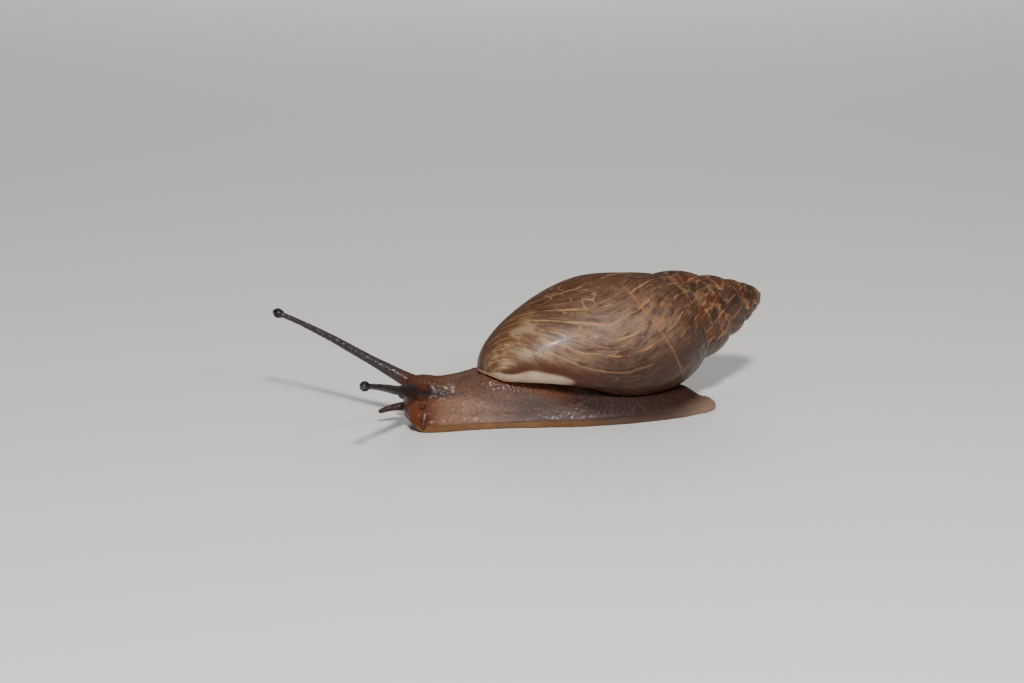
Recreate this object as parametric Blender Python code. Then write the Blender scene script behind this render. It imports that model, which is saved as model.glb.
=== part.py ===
"""Rosy wolfsnail (Euglandina rosea), life size, gliding along with its tentacles out.

The head points to -X, the animal's right side to +Y, and the floor is at Z = 0.
Sizes are in millimetres and are scaled to metres as each mesh is made.
"""
import bpy
import bmesh
from math import asin, cos, sin, pi, radians, sqrt
from mathutils import Vector

MM = 0.001
GAP = 0.3                    # clear space between neighbouring solids

# The origin is on the floor, under the middle of the whole animal.
ORIGIN = Vector((20.20, -4.4, 0.0))

# Shell: a right-handed spiral of egg-shaped sections round a straight axis.
SHELL_HEIGHT = 55.0
SHELL_APEX = Vector((63.05, 7.44, 17.77))
SHELL_YAW = radians(12.9)    # the spire points back and to the animal's right
SHELL_PITCH = radians(9.9)   # and a little upward
TURN_GROWTH = 1.65           # each whorl against the one before, along the axis
WIDTH_GROWTH = 0.71          # widths grow as this power of the growth along the axis
SECTION_RADIUS = 3.9         # middle of the last section, from the axis
SECTION_LEVEL = 37.4         # and from the apex
SECTION_WIDE = 9.8           # half width of the last section
SECTION_TALL = 17.4          # half height of the last section
SECTION_LEAN = 0.10
SHOULDER_POWER = 1.84        # superellipse power above the widest point
BASE_POWER = 1.95            # and below it
LEFT_BASE_POWER = 1.0        # below it, on the animal's left, where the base tapers
TAPER_START = 0.79 * pi      # spiral angle, before the lip, where that taper begins
TAPER_SPAN = 1.2 * pi
TOP_FLAT = 1.3               # the last whorl is flatter on top, below its suture
TOP_FLAT_SPAN = (-1.35, 0.25)
TOP_SHIFT = -0.92            # and widest a little nearer the apex there
LIP_ROLL = radians(6.0)      # the opening faces down and a little to the left
LEFT_BASE_DROP = 1.9         # how much sooner the base ends on the left than at the lip
BASE_DROP_POWER = 6          # how late that drop comes
LEFT_EDGE = 1.0 * pi         # spiral angle, before the lip, of the inner lip's edge
WALL_EDGE = 1.32 * pi        # and where the wall inside the opening begins
COLUMELLA_RADIUS = 0.5        # the pillar on the axis where the base ends
APEX_LEVEL = 0.35             # the first whorl is blunt
TURNS = 6
STEPS_PER_TURN = 32
SPIRE_ROWS = 5
BASE_ROWS = 11

# Flesh: stations along the body, from the muzzle to the tip of the tail:
# place along X, half width, lowest level, top level, pinch of the upper part.
BODY_STATIONS = (
    (-2.60, 1.3, 3.3, 6.6, 1.0),
    (-2.20, 2.2, 1.9, 8.2, 1.0),
    (-1.10, 2.9, 0.5, 9.0, 1.0),
    (0.50, 3.3, 0.0, 9.2, 1.0),
    (3.50, 3.5, 0.0, 8.8, 1.0),
    (7.50, 3.5, 0.0, 9.3, 1.0),
    (12.00, 3.9, 0.0, 10.6, 1.0),
    (18.00, 4.8, 0.0, 13.0, 1.1),
    (25.00, 6.1, 0.0, 14.5, 1.4),
    (32.00, 6.5, 0.0, 11.0, 1.7),
    (38.00, 6.3, 0.0, 6.5, 1.5),
    (43.00, 5.5, 0.0, 4.9, 1.2),
    (46.50, 4.5, 0.0, 4.0, 1.0),
    (49.30, 3.3, 0.0, 2.2, 1.0),
    (51.20, 1.9, 0.0, 1.6, 1.0),
    (51.90, 0.9, 0.0, 1.0, 1.0),
)
BODY_SLICES = 46
BODY_SIDES = 14
BODY_ROUNDNESS = 0.8         # power of the half circle that shapes each slice
END_CROWDING = 0.45          # share of the slices' spacing that crowds toward the ends
# Where the body is parted along X, and the level of the mantle's lower edge.
BODY_PARTS = (("head", -4.0, 3.2), ("neck", 3.2, 11.5), ("foot_front", 11.5, 26.0),
              ("foot_rear", 26.0, 42.5), ("tail", 42.5, 54.0))
MANTLE_SPAN = (11.5, 42.5)
MANTLE_LEVEL = 6.6
REACH = 20.0                 # the parting slabs reach this far, past the body

# Tentacles and palps: points from the root to the tip, and a radius at each.
UPPER_RIGHT = ((0.2, 1.9, 6.9), (-2.6, 2.3, 8.5), (-7.5, 5.0, 11.2), (-13.0, 8.8, 14.2),
               (-17.6, 11.9, 16.4), (-20.3, 13.6, 17.5))
UPPER_LEFT = ((0.2, -1.9, 6.5), (-2.2, -3.3, 7.5), (-5.6, -8.8, 9.2), (-8.8, -14.2, 11.2),
              (-11.6, -18.7, 12.8), (-13.5, -21.8, 13.8))
LIMB_STEPS = 3
UPPER_RADII = (1.50, 1.20, 0.80, 0.64, 0.50, 0.48)
BULB_RADIUS = 0.86
BULB_PROFILE = ((0.30, 0.72), (0.65, 0.93), (1.00, 1.0), (1.30, 0.90), (1.45, 0.76))
EYE_RADIUS = 0.52
EYE_BACK = 0.10
EYE_BACK_RADIUS = 0.47
LOWER_RIGHT = ((-0.9, 2.0, 4.9), (-2.0, 3.0, 4.8), (-2.5, 3.7, 4.8))
LOWER_LEFT = ((0.2, -2.2, 4.5), (-0.3, -3.3, 4.5), (-0.5, -4.0, 4.6))
LOWER_RADII = (0.62, 0.52, 0.42)
PALP_RIGHT = ((-0.3, 1.9, 3.1), (-2.6, 2.6, 3.3), (-4.5, 3.0, 3.0), (-6.1, 3.2, 2.5))
PALP_LEFT = ((0.7, -2.3, 3.0), (-0.1, -3.5, 2.7), (-0.6, -4.3, 1.7), (-0.8, -4.7, 0.8))
PALP_RADII = (0.80, 0.72, 0.55, 0.42)

SHELL_COLOUR = (0.16, 0.075, 0.035)
FLESH_COLOUR = (0.25, 0.12, 0.085)
TENTACLE_COLOUR = (0.14, 0.075, 0.065)
EYE_COLOUR = (0.01, 0.008, 0.008)


def smooth(value):
    """Ease from 0 to 1 as value goes from 0 to 1."""
    value = min(max(value, 0.0), 1.0)
    return value * value * (3.0 - 2.0 * value)


def signed_power(value, power):
    return abs(value) ** power * (1.0 if value >= 0.0 else -1.0)


def finish(bm, name, colour, roughness, collection):
    """Turn a bmesh in millimetres into an object in metres."""
    bmesh.ops.translate(bm, verts=bm.verts, vec=-ORIGIN)
    bmesh.ops.scale(bm, verts=bm.verts, vec=(MM, MM, MM))
    bmesh.ops.recalc_face_normals(bm, faces=bm.faces)
    mesh = bpy.data.meshes.new(name)
    bm.to_mesh(mesh)
    bm.free()
    mesh.shade_smooth()
    mesh.set_sharp_from_angle(angle=radians(50.0))
    material = bpy.data.materials.new(name)
    material.use_nodes = True
    shader = material.node_tree.nodes["Principled BSDF"]
    shader.inputs["Base Color"].default_value = (*colour, 1.0)
    shader.inputs["Roughness"].default_value = roughness
    mesh.materials.append(material)
    obj = bpy.data.objects.new(name, mesh)
    collection.objects.link(obj)
    return obj


def as_cutter(obj):
    obj.hide_render = True
    obj.display_type = "WIRE"
    return obj


def boolean(obj, other, operation):
    step = obj.modifiers.new(operation.title(), "BOOLEAN")
    step.operation = operation
    step.solver = "EXACT"
    step.object = other


# ---- Shell ---------------------------------------------------------------

def inner_wall(angle):
    """0 where the base reaches the front of the shell, 1 where it stays inside the opening."""
    return smooth((-angle - LEFT_EDGE) / (WALL_EDGE - LEFT_EDGE))


def base_level(angle):
    """Distance from the apex at which the section ends, at a spiral angle before the lip."""
    spiral = SHELL_HEIGHT * TURN_GROWTH ** (angle / (2.0 * pi))
    tapered = SHELL_HEIGHT - LEFT_BASE_DROP * (angle / LEFT_EDGE) ** BASE_DROP_POWER
    return tapered + (spiral - tapered) * inner_wall(angle)


def shell_section(angle, across):
    """Radius and distance from the apex of a point of the section at a spiral angle.

    angle is 0 at the lip and negative before it. across runs from -pi/2 on the
    apex side, over 0 at the widest point, to pi/2 at the base.
    """
    size = TURN_GROWTH ** (angle / (2.0 * pi))
    width = size ** WIDTH_GROWTH
    if across > 0.0:
        side = smooth((-angle - TAPER_START) / TAPER_SPAN) - inner_wall(angle)
        power = BASE_POWER + (LEFT_BASE_POWER - BASE_POWER) * side
        tall = base_level(angle) / size - SECTION_LEVEL
    else:
        power = SHOULDER_POWER
        tall = SECTION_TALL
    outward = SECTION_WIDE * signed_power(cos(across), 2.0 / power)
    onward = signed_power(sin(across), 2.0 / power)
    radius = width * (SECTION_RADIUS + outward - SECTION_LEAN * SECTION_TALL * onward)
    level = size * (SECTION_LEVEL + tall * onward)
    if angle > -2.0 * pi:
        top = max(-sin(angle), 0.0) ** 2
        low, high = TOP_FLAT_SPAN
        share = min(max((across - low) / (high - low), 0.0), 1.0)
        radius -= TOP_FLAT * top * sin(pi * share) ** 2
        level += TOP_SHIFT * top * cos(across) ** 2
    return radius, level


def suture_places():
    """Where a section leaves the whorl before it, and where the next whorl covers it.

    Both are the same on every whorl of the spire, because each is a scaled copy
    of the next. They are found by halving, on the last section before the lip.
    """
    inside, outside = -0.5 * pi, 0.0
    for _ in range(30):
        suture = (inside + outside) / 2
        radius, level = shell_section(0.0, suture)
        short = max(SECTION_LEVEL - level * TURN_GROWTH, 0.0) / SECTION_TALL
        covered = -asin(min(short ** (SHOULDER_POWER / 2.0), 1.0))
        if radius * TURN_GROWTH ** WIDTH_GROWTH < shell_section(0.0, covered)[0]:
            inside = suture
        else:
            outside = suture
    return suture, covered


def shell_frame():
    """Directions toward the base of the shell, and outward at the lip."""
    flat = cos(SHELL_PITCH)
    onward = -Vector((flat * cos(SHELL_YAW), flat * sin(SHELL_YAW), sin(SHELL_PITCH)))
    level = Vector((0.0, 0.0, 1.0)).cross(-onward).normalized()
    down = onward.cross(level)
    outward = level * cos(LIP_ROLL) + down * sin(LIP_ROLL)
    return onward, outward, onward.cross(outward)


def build_shell(name, collection, grow=0.0):
    """The whorls as one closed solid; grow swells it, to cut room for it in the flesh."""
    onward, outward, turning = shell_frame()
    suture, covered = suture_places()
    bm = bmesh.new()
    last = TURNS * STEPS_PER_TURN
    columns = []
    apex = bm.verts.new(SHELL_APEX + onward * (APEX_LEVEL - grow))

    def place(angle, across):
        radius, level = shell_section(angle, across)
        out = outward * cos(angle) + turning * sin(angle)
        if across >= 0.5 * pi - 1e-6:
            radius = max(radius, COLUMELLA_RADIUS)
            level += grow
        return SHELL_APEX + onward * level + out * (radius + grow)

    for i in range(last + 1):
        angle = (i - last) / STEPS_PER_TURN * 2.0 * pi
        if i < STEPS_PER_TURN:
            column = [apex]
        else:
            column = [columns[i - STEPS_PER_TURN][SPIRE_ROWS]]
        for k in range(1, SPIRE_ROWS + 1):
            across = suture + (covered - suture) * (k / SPIRE_ROWS)
            column.append(bm.verts.new(place(angle, across)))
        if i >= last - STEPS_PER_TURN:
            for k in range(1, BASE_ROWS + 1):
                across = covered + (0.5 * pi - covered) * (k / BASE_ROWS)
                column.append(bm.verts.new(place(angle, across)))
            column.append(bm.verts.new(SHELL_APEX + onward * (base_level(angle) + grow)))
        columns.append(column)

    for i in range(last):
        here, there = columns[i], columns[i + 1]
        for k in range(min(len(here), len(there)) - 1):
            ring = []
            for vertex in (here[k], here[k + 1], there[k + 1], there[k]):
                if vertex not in ring:
                    ring.append(vertex)
            bm.faces.new(ring)
    bm.faces.new(columns[0])
    before = columns[last - STEPS_PER_TURN]
    axis = [column[-1] for column in columns[last - STEPS_PER_TURN + 1:last]]
    bm.faces.new(columns[last] + axis[::-1] + before[:SPIRE_ROWS:-1])
    bmesh.ops.triangulate(bm, faces=bm.faces)
    return finish(bm, name, SHELL_COLOUR, 0.3, collection)


# ---- Flesh ---------------------------------------------------------------

def hermite(before, start, end, after, share):
    """A point of the smooth curve through four points, between the middle two."""
    leave, arrive = (end - before) / 2, (after - start) / 2
    t2, t3 = share ** 2, share ** 3
    return ((2 * t3 - 3 * t2 + 1) * start + (t3 - 2 * t2 + share) * leave
            + (3 * t2 - 2 * t3) * end + (t3 - t2) * arrive)


def station(x):
    """Half width, lowest level, top level and pinch of the body at a place along X."""
    last = len(BODY_STATIONS) - 1
    i = max(j for j in range(last) if BODY_STATIONS[j][0] <= x or j == 0)
    rows = [Vector(BODY_STATIONS[min(max(i + j, 0), last)]) for j in (-1, 0, 1, 2)]
    share = (x - rows[1][0]) / (rows[2][0] - rows[1][0])
    return hermite(*rows, share)[1:]


def build_body(name, collection):
    """The whole animal without its shell and feelers: a loft over a flat sole."""
    bm = bmesh.new()
    start, end = BODY_STATIONS[0][0], BODY_STATIONS[-1][0]
    rings = []
    for i in range(BODY_SLICES + 1):
        eased = 0.5 - 0.5 * cos(pi * i / BODY_SLICES)
        share = END_CROWDING * eased + (1.0 - END_CROWDING) * i / BODY_SLICES
        x = start + (end - start) * share
        wide, low, high, pinch = station(x)
        low = max(low, 0.0)
        ring = []
        for k in range(BODY_SIDES + 1):
            a = pi * k / BODY_SIDES
            y = wide * signed_power(cos(a), BODY_ROUNDNESS * pinch)
            z = low + (high - low) * abs(sin(a)) ** (BODY_ROUNDNESS * sqrt(pinch))
            ring.append(bm.verts.new((x, y, z)))
        rings.append(ring)
    for here, there in zip(rings, rings[1:]):
        for k in range(BODY_SIDES + 1):
            n = (k + 1) % (BODY_SIDES + 1)
            bm.faces.new((here[k], here[n], there[n], there[k]))
    bm.faces.new(rings[0])
    bm.faces.new(rings[-1])
    bmesh.ops.triangulate(bm, faces=bm.faces)
    return finish(bm, name, FLESH_COLOUR, 0.25, collection)


def slab(name, low, high, collection):
    """A box between two corners, which keeps one stretch of the body."""
    bm = bmesh.new()
    bmesh.ops.create_cube(bm, size=1.0)
    low, high = Vector(low), Vector(high)
    bmesh.ops.scale(bm, verts=bm.verts, vec=high - low)
    bmesh.ops.translate(bm, verts=bm.verts, vec=(low + high) / 2)
    return as_cutter(finish(bm, name, FLESH_COLOUR, 0.5, collection))


def limb(name, points, radii, colour, collection, grow=0.0):
    """A tapering round limb as a bevelled curve, made a closed mesh."""
    curve = bpy.data.curves.new(name, "CURVE")
    curve.dimensions = "3D"
    curve.bevel_depth = 1.0
    curve.bevel_resolution = 4
    curve.use_fill_caps = True
    spline = curve.splines.new("POLY")
    spline.points.add(len(points) - 1)
    for place, radius, point in zip(points, radii, spline.points):
        point.co = (*place, 1.0)
        point.radius = radius + grow
    guide = bpy.data.objects.new(name + "_curve", curve)
    collection.objects.link(guide)
    bpy.context.view_layer.update()
    mesh = bpy.data.meshes.new_from_object(guide.evaluated_get(bpy.context.evaluated_depsgraph_get()))
    bm = bmesh.new()
    bm.from_mesh(mesh)
    bmesh.ops.remove_doubles(bm, verts=bm.verts, dist=0.0001)
    bpy.data.objects.remove(guide)
    return finish(bm, name, colour, 0.25, collection)


def along(points, radii, steps):
    """Points and radii of a smooth curve through the given ones."""
    places = [Vector(p) for p in points]
    last = len(places) - 1
    line, sizes = [places[0]], [radii[0]]
    for i in range(last):
        ends = places[max(i - 1, 0)], places[i], places[i + 1], places[min(i + 2, last)]
        for k in range(1, steps + 1):
            line.append(hermite(*ends, k / steps))
            sizes.append(radii[i] + (radii[i + 1] - radii[i]) * k / steps)
    return line, sizes


def rounded_tip(line, sizes):
    """Close the end of a limb with a dome of its last radius."""
    ahead = (line[-1] - line[-2]).normalized()
    end, size = line[-1], sizes[-1]
    for rise in (30.0, 55.0, 78.0):
        line.append(end + ahead * (size * sin(radians(rise))))
        sizes.append(size * cos(radians(rise)))


def build_feelers(collection, cutters):
    """Tentacles and palps, with the clearances that the head is cut by."""
    rooms = []
    half = LIMB_STEPS * len(UPPER_RADII) // 2 - 1
    for side, points in (("right", UPPER_RIGHT), ("left", UPPER_LEFT)):
        line, sizes = along(points, UPPER_RADII, LIMB_STEPS)
        room = limb("room_upper_" + side, line[:half], sizes[:half], FLESH_COLOUR, cutters, GAP)
        rooms.append(as_cutter(room))
        limb("upper_tentacle_" + side + "_root", line[:half + 1], sizes[:half + 1],
             TENTACLE_COLOUR, collection)
        cut = (line[half + 1] - line[half]).normalized() * GAP
        tip_line = [line[half] + cut] + line[half + 1:]
        tip_sizes = sizes[half:]
        ahead = (line[-1] - line[-2]).normalized()
        end = line[-1]
        for reach, share in BULB_PROFILE:
            tip_line.append(end + ahead * reach)
            tip_sizes.append(BULB_RADIUS * share)
        limb("upper_tentacle_" + side + "_tip", tip_line, tip_sizes, TENTACLE_COLOUR, collection)
        eye_line = [tip_line[-1] + ahead * GAP, tip_line[-1] + ahead * (GAP + EYE_BACK)]
        eye_sizes = [EYE_BACK_RADIUS, EYE_RADIUS]
        rounded_tip(eye_line, eye_sizes)
        limb("eye_" + side, eye_line, eye_sizes, EYE_COLOUR, collection)
    for name, points, radii in (("lower_tentacle_right", LOWER_RIGHT, LOWER_RADII),
                                ("lower_tentacle_left", LOWER_LEFT, LOWER_RADII),
                                ("labial_palp_right", PALP_RIGHT, PALP_RADII),
                                ("labial_palp_left", PALP_LEFT, PALP_RADII)):
        line, sizes = along(points, radii, LIMB_STEPS)
        rooms.append(as_cutter(limb("room_" + name, line, sizes, FLESH_COLOUR, cutters, GAP)))
        rounded_tip(line, sizes)
        limb(name, line, sizes, TENTACLE_COLOUR, collection)
    return rooms


def part_body(body, shell_room, rooms, collection, cutters):
    """Copies of the body, each kept to its own stretch and cleared of its neighbours."""
    half = GAP / 2
    stretches = []
    for name, start, end in BODY_PARTS:
        under_mantle = MANTLE_SPAN[0] <= start and end <= MANTLE_SPAN[1]
        top = MANTLE_LEVEL - half if under_mantle else REACH
        stretches.append((name, (start + half, -REACH, -1.0), (end - half, REACH, top)))
    start, end = MANTLE_SPAN
    stretches.append(("mantle_collar", (start + half, -REACH, MANTLE_LEVEL + half),
                      (end - half, REACH, REACH)))
    for name, low, high in stretches:
        piece = bpy.data.objects.new(name, body.data.copy())
        collection.objects.link(piece)
        boolean(piece, slab("stretch_" + name, low, high, cutters), "INTERSECT")
        boolean(piece, shell_room, "DIFFERENCE")
        if name == "head":
            for room in rooms:
                boolean(piece, room, "DIFFERENCE")


def main():
    for obj in list(bpy.data.objects):
        bpy.data.objects.remove(obj, do_unlink=True)
    snail = bpy.data.collections.new("rosy_wolfsnail")
    cutters = bpy.data.collections.new("cutters")
    for collection in (snail, cutters):
        bpy.context.scene.collection.children.link(collection)
    build_shell("shell", snail)
    shell_room = as_cutter(build_shell("room_shell", cutters, GAP))
    rooms = build_feelers(snail, cutters)
    body = as_cutter(build_body("whole_body", cutters))
    part_body(body, shell_room, rooms, snail, cutters)


main()
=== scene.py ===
"""Rosy wolfsnail, life size: the dressed model of the shell, the skin and the eyes.

Shapes are worked out in millimetres on the same axes as the solids: the head
points to -X and the animal's right side to +Y, with the floor at Z = 0.
"""
from itertools import product
from math import cos, pi, radians, sin, sqrt

import bmesh
import bpy
import numpy as np
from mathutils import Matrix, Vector
from mathutils.bvhtree import BVHTree


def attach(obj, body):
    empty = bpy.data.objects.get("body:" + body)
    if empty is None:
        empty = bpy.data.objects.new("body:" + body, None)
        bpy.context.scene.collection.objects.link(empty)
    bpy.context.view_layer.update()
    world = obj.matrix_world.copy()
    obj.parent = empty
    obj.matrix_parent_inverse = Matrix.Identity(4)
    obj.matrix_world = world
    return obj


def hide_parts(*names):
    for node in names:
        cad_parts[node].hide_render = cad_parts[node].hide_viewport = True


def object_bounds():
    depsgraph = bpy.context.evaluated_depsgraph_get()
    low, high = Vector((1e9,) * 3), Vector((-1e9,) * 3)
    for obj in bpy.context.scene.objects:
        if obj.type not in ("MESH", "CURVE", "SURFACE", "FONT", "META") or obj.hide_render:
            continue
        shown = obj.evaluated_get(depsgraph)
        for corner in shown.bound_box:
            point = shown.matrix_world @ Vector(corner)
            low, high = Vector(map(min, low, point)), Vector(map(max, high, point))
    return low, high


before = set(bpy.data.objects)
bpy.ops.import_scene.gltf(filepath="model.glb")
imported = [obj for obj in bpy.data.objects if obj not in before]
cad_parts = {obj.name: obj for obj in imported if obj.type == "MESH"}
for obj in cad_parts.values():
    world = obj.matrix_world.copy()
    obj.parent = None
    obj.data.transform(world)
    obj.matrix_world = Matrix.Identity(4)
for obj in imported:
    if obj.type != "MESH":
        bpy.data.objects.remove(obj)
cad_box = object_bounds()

MM = 0.001
UP = (0.0, 0.0, 1.0)
FULL_TURN = 2.0 * pi
ORIGIN = np.array((20.2, -4.4, 0.0))  # the frame's origin on the axes used here
SKIN_NODES = tuple(name for name in sorted(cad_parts)
                   if name not in ("shell", "eye_left", "eye_right"))

# Shell: the same spiral as the solid's, in finer steps.
SHELL_HEIGHT = 55.0
SHELL_APEX = np.array((63.05, 7.44, 17.77))
SHELL_YAW = radians(12.9)
SHELL_PITCH = radians(9.9)
TURN_GROWTH = 1.65
WIDTH_GROWTH = 0.71
SECTION_RADIUS = 3.9
SECTION_LEVEL = 37.4
SECTION_WIDE = 9.8
SECTION_TALL = 17.4
SECTION_LEAN = 0.1
SHOULDER_POWER = 1.84
BASE_POWER = 1.95
LEFT_BASE_POWER = 1.0
TAPER_START = 0.79 * pi
TAPER_SPAN = 1.2 * pi
TOP_FLAT = 1.3
TOP_FLAT_SPAN = (-1.35, 0.25)
TOP_SHIFT = -0.92
LIP_ROLL = radians(6.0)
LEFT_BASE_DROP = 1.9
BASE_DROP_POWER = 6
LEFT_EDGE = 1.0 * pi
WALL_EDGE = 1.32 * pi
COLUMELLA_RADIUS = 0.5
APEX_LEVEL = 0.35
TURNS = 6
SUTURE_HALVINGS = 40
FINE_WHORLS = (320, 20, 66)  # steps to a turn, rows on the spire, rows on the base
PLAIN_WHORLS = (96, 8, 26)
LIP_THICKNESS = 0.38
CALLUS = 0.15  # glaze on the wall opposite the lip
PILLAR_RADIUS = 1.1  # left standing when the opening is hollowed out
OPENING_DEPTH = -0.55 * pi  # spiral angles where the hollow ends and starts
OPENING_FRONT = 0.06 * pi
HOLLOW_STEPS = 40
HOLLOW_ROWS = 60
SECTION_SAMPLES = 400
LEVEL_SAMPLES = 700
LEAST_HOLLOW = 0.35
MOST_LEAN = 3.0
LIP_CUT_POINT = np.array((10.5, -4.5, 9.62))  # on the slanting front of the lip
LIP_CUT_UP = np.array((0.433, 0.131, 0.892))
LIP_CUT_ENDS = ((-9.0, -22.0), (9.0, -22.0), (9.0, 14.0), (-9.0, 14.0))
LIP_CUT_DEPTH = 9.0
SHARP_EDGE = radians(50.0)
GROWTH_SLANT = 0.48  # growth lines run forward by this share of the way from the suture
GROWTH_BEND = 14.0  # up to about this far from it
GROWTH_BEND_SOFTNESS = 2.5
GROWTH_SWEEP = 0.05  # and turn back along the base, past this level
GROWTH_SWEEP_LEVEL = 33.0
RIDGE_SWAY = 0.6
GROWTH_RIDGES = ((0.014, 0.45, 0.05), (0.024, 1.6, 0.04), (0.05, 6.5, 0.06))  # height, spacing, wander
SPIRE_RELIEF = 1.6  # ridges shrink on whorls smaller than the last one over this
TIP_FADE = 3.0
GLAZE_START = 0.98 * pi  # glaze smooths the old whorl inside the opening
GLAZE_FADE = 0.12
GLAZE_END = 1.99 * pi
FRILL_WIDTH = 0.9  # raised, crinkled edge along the suture
FRILL_HEIGHT = 0.05
FRILL_CRINKLE = 0.07
NO_SUTURE = 30.0  # given to points with no whorl after them

# Flesh: the same stations as the solid's.
BODY_STATIONS = (
    (-2.6, 1.3, 3.3, 6.6, 1.0),
    (-2.2, 2.2, 1.9, 8.2, 1.0),
    (-1.1, 2.9, 0.5, 9.0, 1.0),
    (0.5, 3.3, 0.0, 9.2, 1.0),
    (3.5, 3.5, 0.0, 8.8, 1.0),
    (7.5, 3.5, 0.0, 9.3, 1.0),
    (12.0, 3.9, 0.0, 10.6, 1.0),
    (18.0, 4.8, 0.0, 13.0, 1.1),
    (25.0, 6.1, 0.0, 14.5, 1.4),
    (32.0, 6.5, 0.0, 11.0, 1.7),
    (38.0, 6.3, 0.0, 6.5, 1.5),
    (43.0, 5.5, 0.0, 4.9, 1.2),
    (46.5, 4.5, 0.0, 4.0, 1.0),
    (49.3, 3.3, 0.0, 2.2, 1.0),
    (51.2, 1.9, 0.0, 1.6, 1.0),
    (51.9, 0.9, 0.0, 1.0, 1.0),
)
BODY_SLICES = 150
BODY_SIDES = 48
BODY_ROUNDNESS = 0.8
END_CROWDING = 0.45

UPPER_LINES = {
    "right": ((0.2, 1.9, 6.9), (-2.6, 2.3, 8.5), (-7.5, 5.0, 11.2), (-13.0, 8.8, 14.2),
              (-17.6, 11.9, 16.4), (-20.3, 13.6, 17.5)),
    "left": ((0.2, -1.9, 6.5), (-2.2, -3.3, 7.5), (-5.6, -8.8, 9.2), (-8.8, -14.2, 11.2),
             (-11.6, -18.7, 12.8), (-13.5, -21.8, 13.8)),
}
UPPER_RADII = (1.5, 1.2, 0.8, 0.64, 0.5, 0.48)
BULB_RADIUS = 0.88
BULB_PROFILE = ((0.3, 0.72), (0.55, 0.9), (0.8, 0.98), (1.05, 1.0), (1.3, 0.95),
                (1.5, 0.84), (1.66, 0.68), (1.78, 0.48), (1.85, 0.25))
EYE_RADIUS = 0.5
EYE_CENTRE = 1.55
EYE_FLATNESS = 0.92
EYE_LOW = -0.35  # where the eye's dome starts and ends, in half turns
EYE_HIGH = 0.47
EYE_ROWS = 10
EYE_SIDES = 28
LOWER_RADII = (0.62, 0.52, 0.42)
BLUNT_LIMBS = {
    "lower_right": (((-0.9, 2.0, 4.9), (-2.0, 3.0, 4.8), (-2.5, 3.7, 4.8)), LOWER_RADII),
    "lower_left": (((0.2, -2.2, 4.5), (-0.2, -2.85, 4.55), (-0.35, -3.25, 4.6)), LOWER_RADII),
    "palp_right": (((-0.3, 1.9, 3.1), (-2.6, 2.6, 3.3), (-4.5, 3.0, 3.0), (-6.1, 3.2, 2.5)),
                   (0.8, 0.72, 0.55, 0.42)),
    "palp_left": (((0.7, -2.2, 3.0), (0.1, -2.95, 2.7), (-0.25, -3.25, 1.9), (-0.3, -3.45, 1.1)),
                  (0.62, 0.5, 0.4, 0.32)),
}
PRESSED_LIMBS = ("lower_left", "palp_left")  # to the cheek
PRESSED_SHARE = 0.35  # how much of a feeler's finish they get
LIMB_STEPS = 6
LIMB_SIDES = 20
LIMB_SPARE = 0.02  # what the smoothing takes off a limb's radius
DOME_RISES = [radians(rise) for rise in (20.0, 40.0, 60.0, 78.0)]  # of a limb's rounded end

# Swelling of the mantle under the front of the lip, on the animal's left.
COLLAR = ((6.0, -1.2, 6.7), (8.6, -2.6, 7.3), (11.4, -4.3, 7.3), (14.6, -4.9, 6.7), (19.0, -4.7, 6.0),
          (24.0, -4.3, 5.0), (30.0, -3.6, 4.0))
COLLAR_RADII = (1.6, 2.0, 2.3, 2.2, 2.1, 1.9, 1.6)
COLLAR_LOW = ((6.0, -1.3, 3.8), (9.0, -2.4, 4.2), (12.0, -3.2, 4.4), (15.5, -3.6, 4.2), (22.0, -3.6, 3.4))
COLLAR_LOW_RADII = (1.5, 1.8, 2.0, 2.0, 1.6)
COLLAR_SIDES = 40
COLLAR_CENTRE = (15.0, -3.8, 5.2)
COLLAR_REACH = (13.5, 5.0, 5.6)
COLLAR_SMOOTHING = 120
MANTLE_CLEARANCE = 0.18  # between the flesh in the opening and the shell's walls
MANTLE_DEPTH = -0.45 * pi
MANTLE_RIM = 0.02 * pi
MANTLE_CORE = 0.1 * pi
MANTLE_CORE_WIDTH = 0.62
SHELL_CLEARANCE = 0.12
SKIN_VOXEL = 0.208
SKIN_SMOOTHING = 4
FRINGE_TOP = 1.25  # height of the paler fringe along the foot, and how far it waves
FRINGE_WAVE = 0.12
FRINGE_LINE_WIDTH = 0.13
SOLE_LEVEL = 0.12  # everything below this lies flat on the floor
STREAK_LEVEL = 6.6  # dark streak behind the near tentacle
STREAK_FALL = 0.12
STREAK_WIDTH = 0.8
MOUTH_LEVEL = 2.9
MOUTH_SIZE = (0.22, 1.1)
SHADE_REACH = (0.7, 6.5)  # how far the painted shade under the shell spreads, front and rear

# Relief of the skin.
PEBBLE_MARGIN = 0.15  # the pebbles' middles keep this far off the edges of their cells
PEBBLE_SPREAD = 0.7
SWELL = 0.1
NET_DEPTH = 0.07  # at the front; the grooves lose some of it to the rear
NET_LOSS = 0.03
FEELER_NET_DEPTH = 0.06
FRINGE_NET_DEPTH = 0.03
FRINGE_LINE_DEPTH = 0.13
FRINGE_RISE = 0.06
SIDE_RISE = 0.45
SIDE_RISE_FALL = 0.9
MOUTH_DEPTH = 0.35


# ---- Small tools ----

def ease(value):
    """Ease from 0 to 1 as value goes from 0 to 1."""
    value = np.clip(value, 0.0, 1.0)
    return value * value * (3.0 - 2.0 * value)


def fade(value, start, span):
    """Ease from 0 to 1 over a span of value from its start."""
    return ease((value - start) / span)


def bell(value, width):
    return np.exp(-(value / width) ** 2)


def signed_power(value, power):
    return np.abs(value) ** power * np.sign(value)


def unit(vector):
    return vector / np.linalg.norm(vector)


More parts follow.
